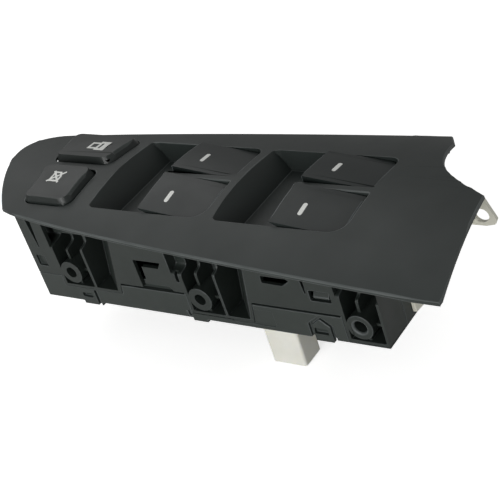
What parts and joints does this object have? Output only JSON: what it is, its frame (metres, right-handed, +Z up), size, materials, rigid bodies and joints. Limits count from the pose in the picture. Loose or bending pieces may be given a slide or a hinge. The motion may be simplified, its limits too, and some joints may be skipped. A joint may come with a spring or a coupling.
{
  "type": "power window switch",
  "caption": "Driver's power window switch panel: crowned trim plate with spring-centred window rockers and lock buttons over a ribbed housing with screw bosses and a plug socket.",
  "frame": {"origin": "mouth of the middle screw boss in the housing's front face", "axes": "+X along the panel towards its notched end, +Y from the front edge to the back edge, +Z up through the panel"},
  "size_m": [0.2251, 0.0939, 0.0667],
  "materials": {
    "panel_black": "fine moulded grain",
    "housing_black": "fine moulded grain",
    "cover_black": "fine moulded grain",
    "board_green": "solder resist",
    "shell_white": "natural nylon",
    "pin_metal": "plated",
    "rocker_black": "satin",
    "mark_white": "printed fill",
    "slider_natural": "acetal",
    "tray_black": "moulded",
    "button_black": "satin",
    "spring_steel": "drawn wire",
    "lamp_white": "clear resin",
    "bracket_cream": "satin paint",
    "screw_zinc": "zinc plated"
  },
  "bodies": {
    "base": {"trim_panel": "panel_black", "switch_housing": "housing_black", "bottom_cover": "cover_black", "circuit_board": "board_green", "connector_shell": "shell_white", "connector_pins": "pin_metal", "slider_trays": "tray_black", "tact_switches": "tray_black", "lamps": "lamp_white", "mounting_bracket": "bracket_cream", "bracket_screws": "screw_zinc", "panel_screws": "screw_zinc", "window_lock_spring": "spring_steel", "door_lock_spring": "spring_steel"},
    "near_rocker_1": {"near_rocker_1": "rocker_black", "near_mark_1": "mark_white"},
    "near_slider_1": {"near_slider_1": "slider_natural"},
    "far_rocker_1": {"far_rocker_1": "rocker_black", "far_mark_1": "mark_white"},
    "far_slider_1": {"far_slider_1": "slider_natural"},
    "near_rocker_2": {"near_rocker_2": "rocker_black", "near_mark_2": "mark_white"},
    "near_slider_2": {"near_slider_2": "slider_natural"},
    "far_rocker_2": {"far_rocker_2": "rocker_black", "far_mark_2": "mark_white"},
    "far_slider_2": {"far_slider_2": "slider_natural"},
    "window_lock_button": {"window_lock_button": "button_black", "window_lock_symbol": "mark_white"},
    "door_lock_button": {"door_lock_button": "button_black", "door_lock_symbol": "mark_white"}
  },
  "joints": [
    {"name": "near_rocker_1_tilt", "type": "hinge", "parent": "base", "child": "near_rocker_1", "pos_m": [-0.00348, 0.01735, 0.0273], "axis": [0, 1, 0], "range_deg": [-7, 7], "stiffness_Nm_per_rad": 0.6},
    {"name": "near_slider_1_slide", "type": "slide", "parent": "base", "child": "near_slider_1", "axis": [1, 0, 0], "range_m": [-0.003, 0.003]},
    {"name": "far_rocker_1_tilt", "type": "hinge", "parent": "base", "child": "far_rocker_1", "pos_m": [-0.00348, 0.04195, 0.0273], "axis": [0, 1, 0], "range_deg": [-7, 7], "stiffness_Nm_per_rad": 0.6},
    {"name": "far_slider_1_slide", "type": "slide", "parent": "base", "child": "far_slider_1", "axis": [1, 0, 0], "range_m": [-0.003, 0.003]},
    {"name": "near_rocker_2_tilt", "type": "hinge", "parent": "base", "child": "near_rocker_2", "pos_m": [0.05662, 0.01735, 0.0273], "axis": [0, 1, 0], "range_deg": [-7, 7], "stiffness_Nm_per_rad": 0.6},
    {"name": "near_slider_2_slide", "type": "slide", "parent": "base", "child": "near_slider_2", "axis": [1, 0, 0], "range_m": [-0.003, 0.003]},
    {"name": "far_rocker_2_tilt", "type": "hinge", "parent": "base", "child": "far_rocker_2", "pos_m": [0.05662, 0.04195, 0.0273], "axis": [0, 1, 0], "range_deg": [-7, 7], "stiffness_Nm_per_rad": 0.6},
    {"name": "far_slider_2_slide", "type": "slide", "parent": "base", "child": "far_slider_2", "axis": [1, 0, 0], "range_m": [-0.003, 0.003]},
    {"name": "window_lock_press", "type": "slide", "parent": "base", "child": "window_lock_button", "axis": [0, 0, 1], "range_m": [-0.0022, 0], "stiffness_N_per_m": 500, "deforming": ["window_lock_spring"]},
    {"name": "door_lock_press", "type": "slide", "parent": "base", "child": "door_lock_button", "axis": [0, 0, 1], "range_m": [-0.0022, 0], "stiffness_N_per_m": 500, "deforming": ["door_lock_spring"]}
  ],
  "couplings": [
    {"joint": "near_slider_1_slide", "follows": "near_rocker_1_tilt", "m_per_rad": -0.024325},
    {"joint": "far_slider_1_slide", "follows": "far_rocker_1_tilt", "m_per_rad": -0.024325},
    {"joint": "near_slider_2_slide", "follows": "near_rocker_2_tilt", "m_per_rad": -0.024325},
    {"joint": "far_slider_2_slide", "follows": "far_rocker_2_tilt", "m_per_rad": -0.024325}
  ]
}
